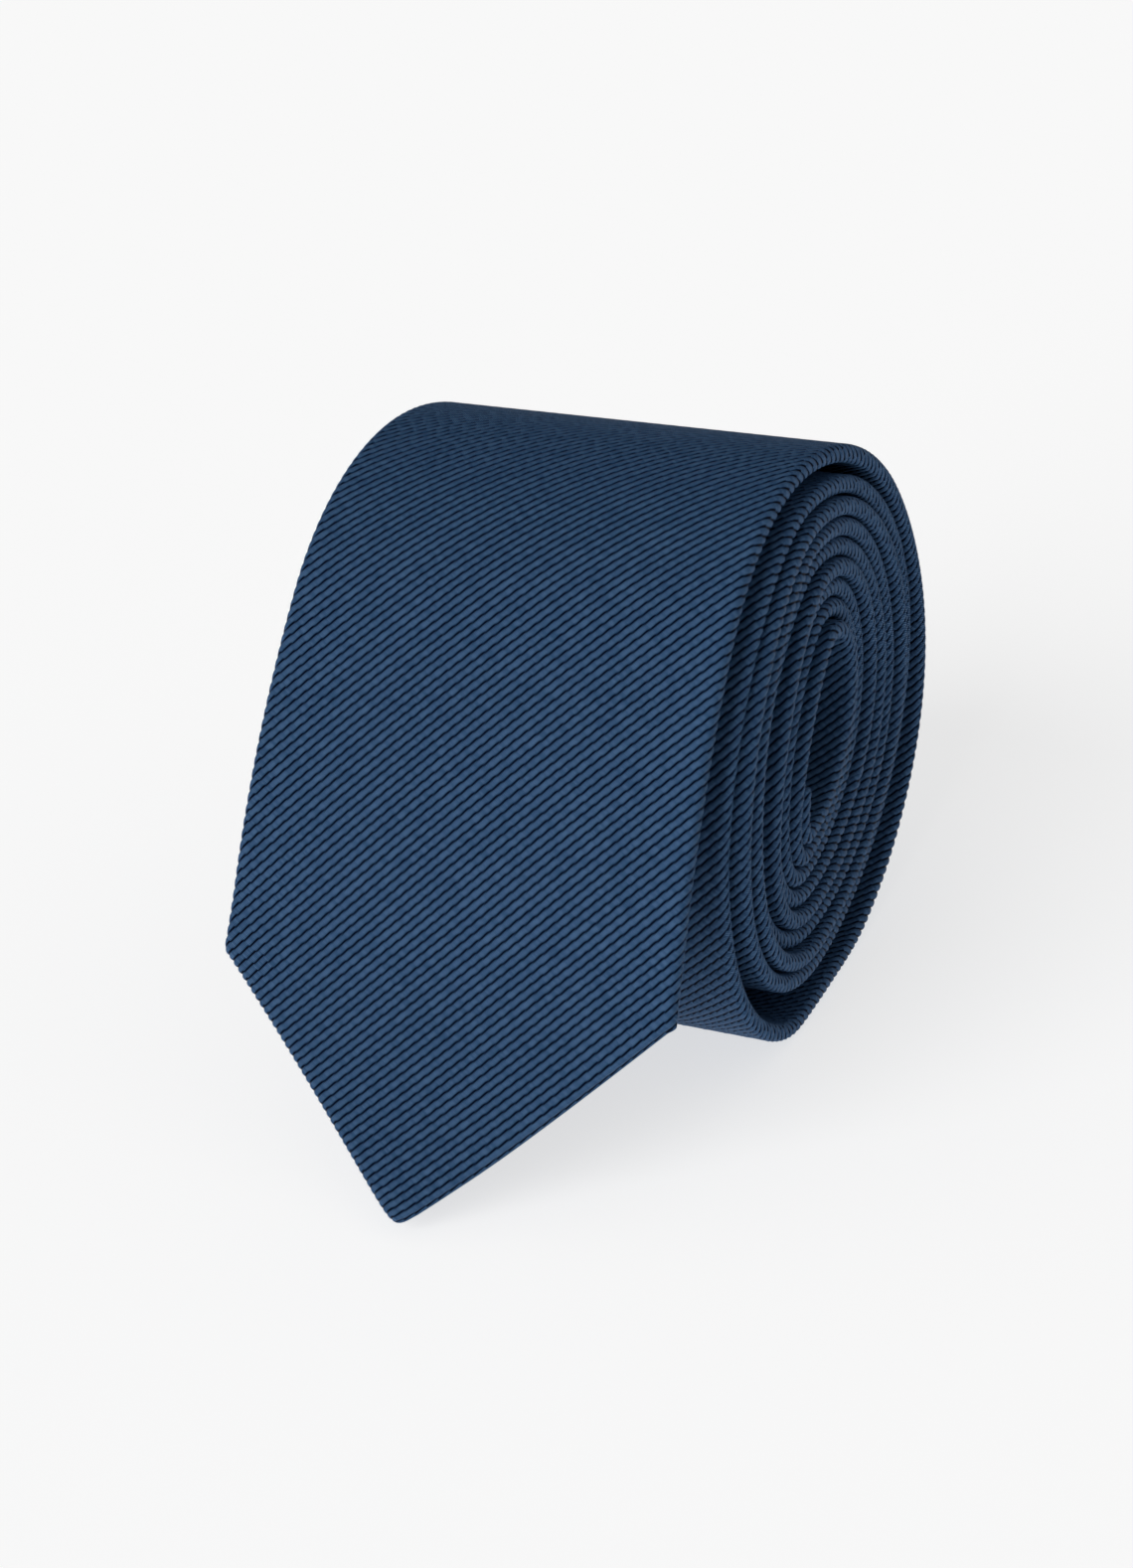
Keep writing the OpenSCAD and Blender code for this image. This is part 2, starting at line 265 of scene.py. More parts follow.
def middle(d):
    """x of the tie's middle line: the right edges of all turns lie in line, give or take a little."""
    turn = np.interp(d, PATH["roll_s"], PATH["wound"])
    passes = np.maximum(np.arange(len(PASS_SHIFT)) - PASS_BEFORE, PASS_START)
    shift = np.interp(turn, passes, PASS_SHIFT)
    drift = wander(d, DRIFT_SEED, DRIFT_LENGTH, DRIFT) * smooth(d, DRIFT_FROM, DRIFT_TO)
    return (BLADE_W - side_width(d)) / 2 + drift + shift - trim(d)


def place(x, d, height):
    """Points in the frame, in millimetres, from place across, distance from the point and height."""
    edge = np.clip(1 - np.maximum(d - x, 0) / ROOT2 / CURL_REACH, 0, 1)
    height = height - CURL * edge**2 * smooth(d, CURL_FROM, CURL_TO) * (1 - smooth(d, SHOULDER, 2 * SHOULDER))
    below = np.maximum(LEAN_FROM - d, 0) / LEAN_REACH
    turned = d + LEAN * np.minimum(below, 1) * x
    x = x + LEAN * LEAN_REACH * np.where(below < 1, below**2 / 2, below - 0.5)
    d = np.hypot(turned, POINT_ROUNDING * (d < LEAN_FROM))
    ty, tz = path_at(d, "ty"), path_at(d, "tz")
    return np.stack([x, path_at(d, "y") - height * tz, path_at(d, "z") + height * ty], axis=-1)


# ---- Meshes ----


def new_object(name, points, faces, material, flat=None):
    """A mesh object from points in millimetres. flat holds each point's place in the cloth's pattern."""
    mesh = bpy.data.meshes.new(name)
    mesh.from_pydata((np.asarray(points) * MM).tolist(), [], faces)
    if flat is not None:
        layer = mesh.attributes.new("flat", "FLOAT_VECTOR", "POINT")
        three = np.zeros((len(points), 3), np.float32)
        three[:, :2] = flat
        layer.data.foreach_set("vector", three.ravel())
    join_doubles(mesh)
    mesh.materials.append(material)
    mesh.polygons.foreach_set("use_smooth", [True] * len(mesh.polygons))
    mesh.update()
    obj = bpy.data.objects.new(name, mesh)
    bpy.context.scene.collection.objects.link(obj)
    return obj


def join_doubles(mesh, distance=0.004):
    """Joins points that fall together, which also drops the faces between them."""
    bm = bmesh.new()
    bm.from_mesh(mesh)
    bmesh.ops.remove_doubles(bm, verts=bm.verts, dist=distance * MM)
    bm.to_mesh(mesh)
    bm.free()


def grid_faces(rows, columns, start, flip):
    """Quads of a grid of points that are numbered row by row."""
    i, k = np.meshgrid(np.arange(rows - 1), np.arange(columns - 1), indexing="ij")
    first = start + i * columns + k
    quads = np.stack([first, first + 1, first + columns + 1, first + columns], axis=-1).reshape(-1, 4)
    return (quads[:, ::-1] if flip else quads).tolist()


def zip_edges(fine, coarse, at, flip):
    """Triangles between a fine row of points and a coarse one, whose points lie beside fine[at]."""
    faces = []
    for n in range(len(coarse) - 1):
        first, last = at[n], at[n + 1]
        half = (first + last) // 2
        faces += [(fine[m], fine[m + 1], coarse[n]) for m in range(first, half)]
        faces.append((fine[half], coarse[n + 1], coarse[n]))
        faces += [(fine[m], fine[m + 1], coarse[n + 1]) for m in range(half, last)]
    return [tuple(int(v) for v in (f[::-1] if flip else f)) for f in faces]


def kept(count, step):
    """Every so many of a row's points, and its last."""
    return np.unique(np.append(np.arange(0, count, step), count - 1))


# ---- Cloth panels, folded to the back along both sides ----

FOLD_ARC = FOLD_R * math.pi / 2
FOLD_SLACK = FOLD_ARC - FOLD_R
# Length along a rib, on each side of a fold, that gets closer points
WRAP = ROOT2 * (FOLD_ARC + 0.4)
# Where the rows of points lie across a rib, as parts of its pitch
FINE_RIB = (0.0, 0.12, 0.35, 0.65, 0.88)
PLAIN_RIB = (0.0, 0.2, 0.5, 0.8)
ROW_CLEARANCE = 0.04
# The lower flap dips under the upper one, between these distances from the tie's middle
TUCK_START, TUCK_END, TUCK_DEPTH = 10.0, 4.5, CLOTH_T + 0.12
# The flaps lap over each other by no more than this part of the tie's half width
LAP_LIMIT = 0.3
# Where the search for a flap's cut edge starts, past the fold
FIRST_REACH = 10.0
NO_EDGE = 99.0


def inset(length):
    """How far inside the tie's edge a point lies, from its length of cloth past the edge."""
    turn = np.clip(length / FOLD_ARC, 0, 1) * math.pi / 2
    return FOLD_R * (1 - np.cos(turn)) + np.maximum(length - FOLD_ARC, 0)


def fold_height(distance):
    """Share of the full height at a distance from a fold's edge."""
    return np.sqrt(1 - (1 - np.clip(distance / FOLD_R, 0, 1)) ** 2)


def rib_height(across):
    """Height of the ribbed surface: broad round ribs with narrow grooves."""
    part = np.mod((across - RIB_START) / RIB_PITCH, 1)
    rise = np.minimum(part, 1 - part) * 2
    return RIB_DEPTH * (np.clip(rise / RIB_FLANK, 0, 1) ** RIB_ROUNDNESS - RIB_SINK)


class Panel:
    """A panel of the tie's cloth. Its distances run from its own pointed end: the tail's panel is turned."""

    def __init__(self, shoulder_w, v_len, pointed=True, turned=False):
        self.pointed, self.turned = pointed, turned
        self.shoulder = shoulder_w / 2
        self.corner = ROOT2 * self.shoulder
        self.tip_rows = ROOT2 * (self.shoulder + FOLD_SLACK) - FOLD_SLACK
        self.v_len = v_len
        # The side whose flap goes under the other one, behind the tie
        self.under = -1 if turned else 1
        self.hem = HEM_W / ROOT2

    def real(self, d):
        return TIE_LEN - d if self.turned else d

    def half_width(self, d):
        return side_width(self.real(d)) / 2

    def flap_half(self, d):
        """Half the width of the open V; negative where the flaps lap over each other."""
        lap = -np.minimum(FLAP_LAP, LAP_LIMIT * self.half_width(d))
        if not self.pointed:
            return lap
        slope = (self.shoulder - HEM_W) / (self.v_len - self.shoulder)
        return np.maximum(lap, np.minimum(d - HEM_W, (self.v_len - d) * slope))

    def fold_at(self, across, side):
        """Length along the rib at which it meets the left (-1) or right (1) long fold."""
        u = side * (self.half_width(ROOT2 * across) + FOLD_SLACK)
        for _ in range(4):
            u = side * (self.half_width(ROOT2 * across + u) + FOLD_SLACK)
        return across + ROOT2 * u

    def flap_end(self, across, side):
        """Length along the rib at which it meets the cut edge of the flap on that side."""
        fold = self.fold_at(across, side)
        d_fold = (fold + across) / ROOT2
        reach = np.full_like(across, FIRST_REACH)
        for _ in range(12):
            d = d_fold + side * reach
            reach = self.half_width(d) - self.flap_half(d) + FOLD_SLACK
        if side < 0 and self.pointed:
            reach = np.minimum(reach, np.maximum(d_fold - self.shoulder, 0))
        return fold + ROOT2 * side * reach

    def turned_in(self, depth):
        """Length of cloth past the edge of the point for a hem of that depth."""
        return np.where(depth < FOLD_R, FOLD_ARC * depth / FOLD_R, depth + FOLD_SLACK)

    def lengths(self, across, counts, d_low=None, d_high=None):
        """For each row across the ribs, the lengths along the rib of its points, between two cuts."""
        right, right_end = self.fold_at(across, 1), self.flap_end(across, 1)
        left, left_end = self.fold_at(across, -1), self.flap_end(across, -1)
        if self.pointed:
            depth = np.minimum(np.maximum(across, 0), np.maximum(self.corner - across, 0))
            tip = across < self.tip_rows
            left = np.where(tip, -FOLD_SLACK, left)
            left_end = np.where(tip, -FOLD_SLACK - self.turned_in(np.minimum(self.hem, depth)), left_end)
        stops = [left_end, left - WRAP, left + WRAP, right - WRAP, right + WRAP, right_end]
        sections = [stops[0][:, None]]
        for count, a, b in zip(counts, stops[:-1], stops[1:]):
            sections.append(a[:, None] + (b - a)[:, None] * np.linspace(0, 1, count + 1)[None, 1:])
        low, high = left_end, right_end
        if d_high is not None:
            high = np.maximum(np.minimum(high, ROOT2 * d_high - across), low)
        if d_low is not None:
            low = np.minimum(np.maximum(low, ROOT2 * d_low - across), high)
        return np.clip(np.concatenate(sections, axis=1), low[:, None], high[:, None])

    def rows(self, start, end, rib):
        """Distances across the ribs at which the rows lie, with both ends."""
        first, last = math.floor((start - RIB_START) / RIB_PITCH), math.ceil((end - RIB_START) / RIB_PITCH)
        found = RIB_START + RIB_PITCH * (np.arange(first, last)[:, None] + np.array(rib)[None, :]).ravel()
        inside = found[(found > start + ROW_CLEARANCE) & (found < end - ROW_CLEARANCE)]
        return np.concatenate([[start], inside, [end]])

    def face_map(self, across, along):
        """Folds points of the pattern: place across, distance, which side of the tie, and which flap."""
        u, d = (along - across) / ROOT2, (along + across) / ROOT2
        half_w = self.half_width(d)
        right, left = half_w + FOLD_SLACK - u, half_w + FOLD_SLACK + u
        x = np.where(u > 0, half_w - inset(np.abs(right)), inset(np.abs(left)) - half_w)
        back = (right < 0) | (left < 0)
        flap = np.where(u > 0, 1, -1)
        if self.pointed:
            on_face = np.clip(np.minimum(right, left) / FOLD_ARC, 0, 1)
            past_a, past_b = across + FOLD_SLACK, along + FOLD_SLACK
            a = (d - x) / ROOT2 + on_face * edge_shift(past_a)
            b = (d + x) / ROOT2 + on_face * edge_shift(past_b)
            hem = (past_b < 0) & (across < self.tip_rows)
            a, b = np.where(hem, across, a), np.where(hem, inset(np.abs(past_b)), b)
            x, d = (b - a) / ROOT2, (b + a) / ROOT2
            back, flap = back | hem, np.where(hem, -1, flap)
        return x, d, back, flap

    def hem_map(self, across, along):
        """Folds points of the cloth that is turned over the right edge of the point."""
        a = inset(np.abs(across + FOLD_SLACK))
        b = np.clip(along + edge_shift(along + FOLD_SLACK), a, self.corner - a)
        x, d = (b - a) / ROOT2, (b + a) / ROOT2
        return x, d, np.full(x.shape, True), np.full(x.shape, 1)

    def surface(self, x, d, back, flap):
        """Points in the frame and outward normals of the folded cloth."""
        half_w = self.half_width(d)
        edges = [(half_w - x, 1.0, 0.0), (half_w + x, -1.0, 0.0)]
        if self.pointed:
            edges += [((d - x) / ROOT2, 1 / ROOT2, -1 / ROOT2), ((d + x) / ROOT2, -1 / ROOT2, -1 / ROOT2)]
        share, nearest, out_x, out_d = np.ones_like(x), np.full_like(x, NO_EDGE), 0, 0
        for distance, way_x, way_d in edges:
            share = share * fold_height(distance)
            nearest = np.minimum(nearest, distance)
            lean = 1 - np.clip(distance / FOLD_R, 0, 1)
            out_x, out_d = out_x + lean * way_x, out_d + lean * way_d
        real_d = self.real(d)
        room = np.where(back, path_at(real_d, "inner"), path_at(real_d, "outer"))
        thick = HALF_T + room * smooth(nearest, PUFF_FROM, PUFF_TO)
        tuck = smooth(TUCK_START - self.under * x, 0, TUCK_START - TUCK_END) * TUCK_DEPTH
        thick = thick - np.where(back & (flap == self.under), tuck, 0)
        up = np.where(back, -1.0, 1.0) * share
        flip = -1.0 if self.turned else 1.0
        points = place(middle(real_d) + flip * x, real_d, up * thick)
        ty, tz = path_at(real_d, "ty"), path_at(real_d, "tz")
        normal = np.stack([flip * out_x, flip * out_d * ty - up * tz, flip * out_d * tz + up * ty], axis=-1)
        return points, normal / np.maximum(np.linalg.norm(normal, axis=-1, keepdims=True), 1e-6)


def edge_shift(past):
    """How much further in a point of the face lies, where the cloth curves over the edge of the point."""
    return np.where(past >= 0, inset(np.abs(past)) - (past - FOLD_SLACK), 0)


class Cloth:
    """Collects the grids of one piece of cloth: ribbed outer faces, coarser inner faces and their rims."""

    def __init__(self, panel):
        self.panel = panel
        self.points, self.faces, self.flat, self.count, self.area = [], [], [], 0, 0.0

    def add(self, points, flat):
        start = self.count
        self.points.append(points.reshape(-1, 3))
        self.flat.append(flat.reshape(-1, 2))
        self.count += points.shape[0] * points.shape[1]
        return start + np.arange(points.shape[0] * points.shape[1]).reshape(points.shape[:2])

    def grid(self, across, along, rims, hem=False, row_step=5, column_step=2):
        """rims says which of the first row, last row, first column and last column get a rim."""
        a = np.broadcast_to(across[:, None], along.shape)
        points, normals = self.panel.surface(*(self.panel.hem_map if hem else self.panel.face_map)(a, along))
        flat = np.stack([a, along], axis=-1)
        flip = across[-1] < across[0]
        outer = self.add(points + normals * rib_height(a)[..., None], flat)
        self.faces += grid_faces(*outer.shape, outer[0, 0], flip)
        r, c = kept(outer.shape[0], row_step), kept(outer.shape[1], column_step)
        pick = np.ix_(r, c)
        inner = self.add(points[pick] - normals[pick] * CLOTH_T, flat[pick])
        self.faces += grid_faces(*inner.shape, inner[0, 0], not flip)
        sides = [(outer[0], inner[0], c, not flip), (outer[-1], inner[-1], c, flip),
                 (outer[:, 0], inner[:, 0], r, flip), (outer[:, -1], inner[:, -1], r, not flip)]
        for wanted, (fine, coarse, at, turn) in zip(rims, sides):
            if wanted:
                self.faces += zip_edges(fine, coarse, at, turn)
        width = along.max(axis=1) - along.min(axis=1)
        self.area += float(abs(np.sum((width[1:] + width[:-1]) / 2 * np.diff(across))))

    def finish(self, name, material):
        return new_object(name, np.concatenate(self.points), self.faces, material, np.concatenate(self.flat))


def add_point(cloth, counts, rib):
    """The cloth that is turned over the right edge of the point, and the flap's wedge beside the shoulder.
    Both go on along the panel's first row, the hem up to wrap_end and the wedge from there."""
    panel = cloth.panel
    first_row = panel.lengths(np.array([-FOLD_SLACK]), counts)[0]
    across = panel.rows(-panel.hem - 2 * FOLD_SLACK, -FOLD_SLACK, rib)[::-1]
    wrap_end = sum(counts[:3]) + counts[3] // 2
    hem = np.broadcast_to(first_row[: wrap_end + 1], (len(across), wrap_end + 1))
    cloth.grid(across, hem, (False, True, True, True), hem=True)
    low, high = panel.fold_at(across, 1), panel.flap_end(across, 1)
    start = panel.corner + np.abs(across)
    wedge = np.maximum(np.minimum(first_row[None, wrap_end:], high[:, None]), np.maximum(low, start)[:, None])
    wedge = np.minimum(wedge, np.maximum(high, start)[:, None])
    valid = high > start
    cloth.grid(across[valid], wedge[valid], (False, True, True, True))


# Steps along a rib: left flap, round the left fold, over the face, round the right fold, right flap
BLADE_COUNTS = (10, 10, 26, 10, 10)
INNER_COUNTS = (9, 8, 18, 8, 9)
TAIL_COUNTS = (12, 8, 26, 8, 12)


def blade_cloth(material, blade):
    cloth = Cloth(blade)
    across = blade.rows(-FOLD_SLACK, (CUT_D + BLADE_W + FLAP_LAP) / ROOT2, FINE_RIB)
    cloth.grid(across, blade.lengths(across, BLADE_COUNTS, d_high=CUT_D), (False, False, True, True))
    add_point(cloth, BLADE_COUNTS, FINE_RIB)
    return cloth.finish("blade_cloth", material), cloth


def inner_blade_cloth(material, blade):
    cloth = Cloth(blade)
    across = blade.rows((CUT_D - BLADE_W - FLAP_LAP) / ROOT2, BLADE_SEAM_D / ROOT2, PLAIN_RIB)
    cloth.grid(across, blade.lengths(across, INNER_COUNTS, d_low=CUT_D), (False, True, True, True))
    return cloth.finish("blade_inner_cloth", material), cloth


def neck_cloth(material, neck):
    cloth = Cloth(neck)
    across = neck.rows(BLADE_SEAM_D / ROOT2, TAIL_SEAM_D / ROOT2, PLAIN_RIB)
    cloth.grid(across, neck.lengths(across, INNER_COUNTS), (True, True, True, True))
    return cloth.finish("neck_cloth", material), cloth


def tail_cloth(material, tail):
    cloth = Cloth(tail)
    across = tail.rows(-FOLD_SLACK, (TIE_LEN - TAIL_SEAM_D) / ROOT2, PLAIN_RIB)
    cloth.grid(across, tail.lengths(across, TAIL_COUNTS), (False, True, True, True))
    add_point(cloth, TAIL_COUNTS, PLAIN_RIB)
    return cloth.finish("tail_cloth", material), cloth


# ---- The layers inside the tie, and the bands sewn on its back ----

TIPPING_HEIGHTS, TIPPING_EDGE, TIPPING_PAST_V = (-0.4, -0.28), 2.0, 8.0
WOOL_HEIGHTS, WOOL_EDGE = (-0.2, 0.82), 1.5
# The inner layers start this far from the tie's ends, and keep this far inside the edges of its points
LAYER_START, POINT_INSET = 7.0, 6.5
LAYER_STEP, LAYER_WEAVE = 1.2, 0.02
BAND_STEP, BAND_COLUMNS, KEEPER_PUFF = 1.0, 30, 0.1
# A band's rounded edge, and the waves of an inner layer's small unevenness
BAND_EDGE, THINNEST = 1.2, 0.05
WAVE_ACROSS, WAVE_SLANT, WAVE_ALONG = 1.9, 0.7, 0.45


def plain_half_width(d, edge):
    """Half the width of an inner layer that ends so far inside the tie's edge, pointed ends included."""
    to_point = np.minimum(d, TIE_LEN - d)
    return np.minimum(side_width(d) / 2 - edge, to_point - POINT_INSET)


def wool_half(d):
    return plain_half_width(d, WOOL_EDGE)


def tipping_half(d):
    return plain_half_width(d, TIPPING_EDGE)


def even_half(width):
    return lambda d: np.full_like(d, width / 2)


def band(name, material, d_from, d_to, half_width, heights, step, columns=10, puff=0.0, weave=0.0):
    """A flat band along the tie with a closed mesh. puff rounds it, and weave is a small waviness."""
    d = np.linspace(d_from, d_to, max(2, int((d_to - d_from) / step) + 1))
    t = np.linspace(-1, 1, columns + 1)
    half = np.maximum(half_width(d), THINNEST)
    x = middle(d)[:, None] + half[:, None] * t[None, :]
    away = np.broadcast_to(d[:, None], x.shape)
    end = np.minimum(d - d_from, d_to - d)[:, None]
    edge = np.minimum(half[:, None] * (1 - np.abs(t[None, :])), end)
    wave = np.sin(x * WAVE_ACROSS + away * WAVE_SLANT) * np.sin(away * WAVE_ALONG)
    rise = puff * (smooth(edge, 0, BAND_EDGE) - 1) / 2 + weave * wave
    low, high = heights
    top, bottom = place(x, away, high + rise), place(x, away, low - (rise if puff else -rise))
    rows, across = x.shape
    points = np.concatenate([top.reshape(-1, 3), bottom.reshape(-1, 3)])
    upper = np.arange(rows * across).reshape(rows, across)
    lower = upper + rows * across
    faces = grid_faces(rows, across, 0, True) + grid_faces(rows, across, rows * across, False)
    for line, under, flip in ((upper[0], lower[0], True), (upper[-1], lower[-1], False),
                              (upper[:, 0], lower[:, 0], False), (upper[:, -1], lower[:, -1], True)):
        for n in range(len(line) - 1):
            quad = [int(line[n]), int(line[n + 1]), int(under[n + 1]), int(under[n])]
            faces.append(quad[::-1] if flip else quad)
    flat = np.stack([(away - x) / ROOT2, (away + x) / ROOT2], axis=-1).reshape(-1, 2)
    return new_object(name, points, faces, material, np.concatenate([flat, flat]))


# ---- Sewing ----

THREAD_END = 0.45
SEAM_STEP, SEAM_FROM_HEM, SEAM_BEFORE_V, SEAM_RADIUS = 2.6, 3.0, 6.0, 0.09
# A stitch of the tipping's seam: past the flap's edge, along the tie, and below the tie's back
SEAM_OUT = np.array([0.9, 0.35, -0.2, -0.6])
SEAM_ALONG = np.array([0.5, 0.25, 0.0, -0.2])
SEAM_DOWN = np.array([0.02, 0.1, -0.3, -0.78])
TACK_STEP, TACK_REACH, TACK_RADIUS = 0.36, 0.7, 0.16
TACK_LIFT, TACK_CROWN = 0.05, 0.28
BLADE_TACK_W, TAIL_TACK_W = 10, 8
STITCH_RADIUS, STITCH_CROWN, STITCH_INSET = 0.11, 0.12, 1.5
KEEPER_STITCH, KEEPER_STITCH_STEP, KEEPER_STITCH_LIFT = 1.3, 1.9, 0.56
LABEL_STITCH, LABEL_STITCH_STEP, LABEL_STITCH_LIFT = 1.0, 1.4, 0.32
SLIP_WAVE, SLIP_PERIOD, SLIP_STEP, SLIP_DEPTH, SLIP_RADIUS = 0.5, 2.6, 1.6, 0.06, 0.05
PANEL_STITCH, PANEL_STITCH_STEP, PANEL_SEAM_HALF = 1.3, 1.8, 13
PANEL_STITCH_DEPTH, PANEL_STITCH_CROWN, PANEL_STITCH_RADIUS = 0.22, 0.08, 0.07


class Threads:
    """Collects sewn threads, each a thin tube with round ends, in one mesh."""

    def __init__(self):
        self.points, self.faces, self.count = [], [], 0

    def sew(self, line, radius, sides=6):
        line = np.asarray(line, float)
        ways = np.gradient(line, axis=0)
        ways /= np.linalg.norm(ways, axis=1, keepdims=True)
        side = np.cross(ways, (1.0, 0.0, 0.0) if abs(ways[0][0]) < 0.8 else (0.0, 0.6, 0.8))
        side /= np.linalg.norm(side, axis=1, keepdims=True)
        other = np.cross(ways, side)
        turn = np.linspace(0, 2 * math.pi, sides, endpoint=False)
        size = np.full(len(line), radius)
        size[0] = size[-1] = radius * THREAD_END
        ring = np.cos(turn)[None, :, None] * side[:, None] + np.sin(turn)[None, :, None] * other[:, None]
        self.points.append((line[:, None] + ring * size[:, None, None]).reshape(-1, 3))
        start, rows = self.count, len(line)
        for i in range(rows - 1):
            for k in range(sides):
                n = (k + 1) % sides
                self.faces.append([start + i * sides + k, start + i * sides + n,
                                   start + (i + 1) * sides + n, start + (i + 1) * sides + k])
        self.faces.append([start + k for k in range(sides)][::-1])
        self.faces.append([start + (rows - 1) * sides + k for k in range(sides)])
        self.count += rows * sides

    def finish(self, name, material):
        return new_object(name, np.concatenate(self.points), self.faces, material)


def on_tie(x, d, height):
    """Points x from the tie's middle line, at a height from its middle surface: behind it, below 0."""
    d = np.asarray(d, float)
    return place(middle(d) + x, d, height)


def v_half(d, shoulder, v_len):
    """Half the width of the open V behind a pointed end."""
    slope = (shoulder - HEM_W) / (v_len - shoulder)
    return np.minimum(d - HEM_W, (v_len - d) * slope)


def tipping_seam(name, material, shoulder, v_len, real):
    """Small slanted stitches along the open V, from the folded flap over its edge into the tipping."""
    threads = Threads()
    for side in (-1, 1):
        for d in np.arange(HEM_W + SEAM_FROM_HEM, v_len - SEAM_BEFORE_V, SEAM_STEP):
            x = side * (float(v_half(d, shoulder, v_len)) + SEAM_OUT)
            threads.sew(on_tie(x, real(d + SEAM_ALONG), -HALF_T - SEAM_DOWN), SEAM_RADIUS)
    return threads.finish(name, material)


def bar_tack(name, material, d, width):
    """A bar of close wraps of thread, across the back above the open V."""
    threads = Threads()
    t = np.linspace(-1, 1, 7)
    for x in np.arange(-width / 2, width / 2 + 0.01, TACK_STEP):
        height = -HALF_T - TACK_LIFT - TACK_CROWN * (1 - t**2)
        threads.sew(on_tie(np.full(7, x), d + TACK_REACH * t, height), TACK_RADIUS)
    return threads.finish(name, material)


def running_stitches(threads, x, starts, length, lift):
    """A row of stitches along the tie, behind its back by lift."""
    t = np.linspace(0, 1, 5)
    height = -HALF_T - lift - STITCH_CROWN * np.sin(math.pi * t)
    for d in starts:
        threads.sew(on_tie(np.full(5, x), d + length * t, height), STITCH_RADIUS)


def keeper_stitches(material):
    """Stitches up both ends of the keeper loop."""
    threads = Threads()
    starts = np.arange(KEEPER_D + 1, KEEPER_D + KEEPER_LEN - 1.6, KEEPER_STITCH_STEP)
    for side in (-1, 1):
        x = side * (KEEPER_SPAN / 2 - STITCH_INSET)
        running_stitches(threads, x, starts, KEEPER_STITCH, KEEPER_STITCH_LIFT)
    return threads.finish("keeper_stitch_threads", material)


def label_stitches(material):
    """Three stitches at each corner of the label."""
    threads = Threads()
    for side in (-1, 1):
        for corner in (LABEL_D + 1, LABEL_D + LABEL_LEN - 5):
            x, starts = side * (LABEL_W / 2 - STITCH_INSET), corner + LABEL_STITCH_STEP * np.arange(3)
            running_stitches(threads, x, starts, LABEL_STITCH, LABEL_STITCH_LIFT)
    return threads.finish("label_stitch_threads", material)


def slip_stitch(material):
    """The long loose thread that closes the back, hidden between the lapped flaps."""
    threads = Threads()
    d = np.arange(BEND_START + 1, TAIL_TACK_D - 4, SLIP_STEP)
    height = np.full_like(d, -HALF_T + CLOTH_T + SLIP_DEPTH)
    threads.sew(on_tie(SLIP_WAVE * np.sin(d / SLIP_PERIOD), d, height), SLIP_RADIUS, sides=5)
    return threads.finish("slip_stitch", material)


def panel_seam(name, material, seam_d):
    """Small stitches that join two panels, along the rib at which they meet."""
    threads = Threads()
    t = np.linspace(0, 1, 4)
    height = HALF_T - PANEL_STITCH_DEPTH - PANEL_STITCH_CROWN * np.sin(math.pi * t)
    for start in np.arange(-PANEL_SEAM_HALF, PANEL_SEAM_HALF, PANEL_STITCH_STEP):
        x = start + PANEL_STITCH * t
        threads.sew(on_tie(x, seam_d + x, height), PANEL_STITCH_RADIUS)
    return threads.finish(name, material)


# ---- Materials ----


class Tree:
    """A material's node tree, with short ways to add nodes."""

    def __init__(self, name):
        self.material = bpy.data.materials.new(name)
        self.material.use_nodes = True
        self.nodes, self.links = self.material.node_tree.nodes, self.material.node_tree.links
        self.shader = self.nodes["Principled BSDF"]

    def add(self, kind, inputs=(), **settings):
        node = self.nodes.new(kind)
        for key, value in settings.items():
            setattr(node, key, value)
        for key, value in dict(inputs).items():
            self.put(node.inputs[key], value)
        return node

    def put(self, socket, value):
        if isinstance(value, bpy.types.NodeSocket):
            self.links.new(value, socket)
        else:
            socket.default_value = value

    def math(self, operation, *values):
        return self.add("ShaderNodeMath", dict(enumerate(values)), operation=operation).outputs[0]

    def ramp(self, value, low, high):
        inputs = {"Value": value, "From Min": low, "From Max": high}
        return self.add("ShaderNodeMapRange", inputs, interpolation_type="SMOOTHSTEP").outputs["Result"]

    def noise(self, index):
        """A random number from 0 to 1 for each whole number."""
        return self.add("ShaderNodeTexWhiteNoise", {"W": index}, noise_dimensions="1D").outputs["Value"]

    def mix(self, share, a, b):
        node = self.add("ShaderNodeMix", data_type="RGBA")
        for index, value in ((0, share), (6, a), (7, b)):
            self.put(node.inputs[index], value)
        return node.outputs[2]

    def flat(self):
        """The place in the cloth's pattern, across and along the ribs, in millimetres."""
        attribute = self.add("ShaderNodeAttribute", attribute_name="flat")
        split = self.add("ShaderNodeSeparateXYZ", {"Vector": attribute.outputs["Vector"]})
        return split.outputs[0], split.outputs[1], attribute.outputs["Vector"]

    def bump(self, height, distance, strength):
        inputs = {"Height": height, "Distance": distance, "Strength": strength}
        self.links.new(self.add("ShaderNodeBump", inputs).outputs[0], self.shader.inputs["Normal"])

    def finish(self, colour, roughness, specular, sheen=0.0):
        self.put(self.shader.inputs["Base Color"], colour)
        self.shader.inputs["Roughness"].default_value = roughness
        self.shader.inputs["Specular IOR Level"].default_value = specular
        self.shader.inputs["Sheen Weight"].default_value = sheen
        self.shader.inputs["Sheen Roughness"].default_value = 0.4
        return self.material


# The face fabric, in millimetres: a thread's width, and how often a groove steps sideways
THREAD, GROOVE_STEP = 0.23, 1.8
# In rib pitches: the groove's sideways step, where its painted shade is darkest and where that shade ends,
# and the threads' slant
GROOVE_SHIFT, GROOVE_SHADE_DARKEST, GROOVE_EDGE, THREAD_SLANT = 0.16, 0.03, 0.2, 0.8
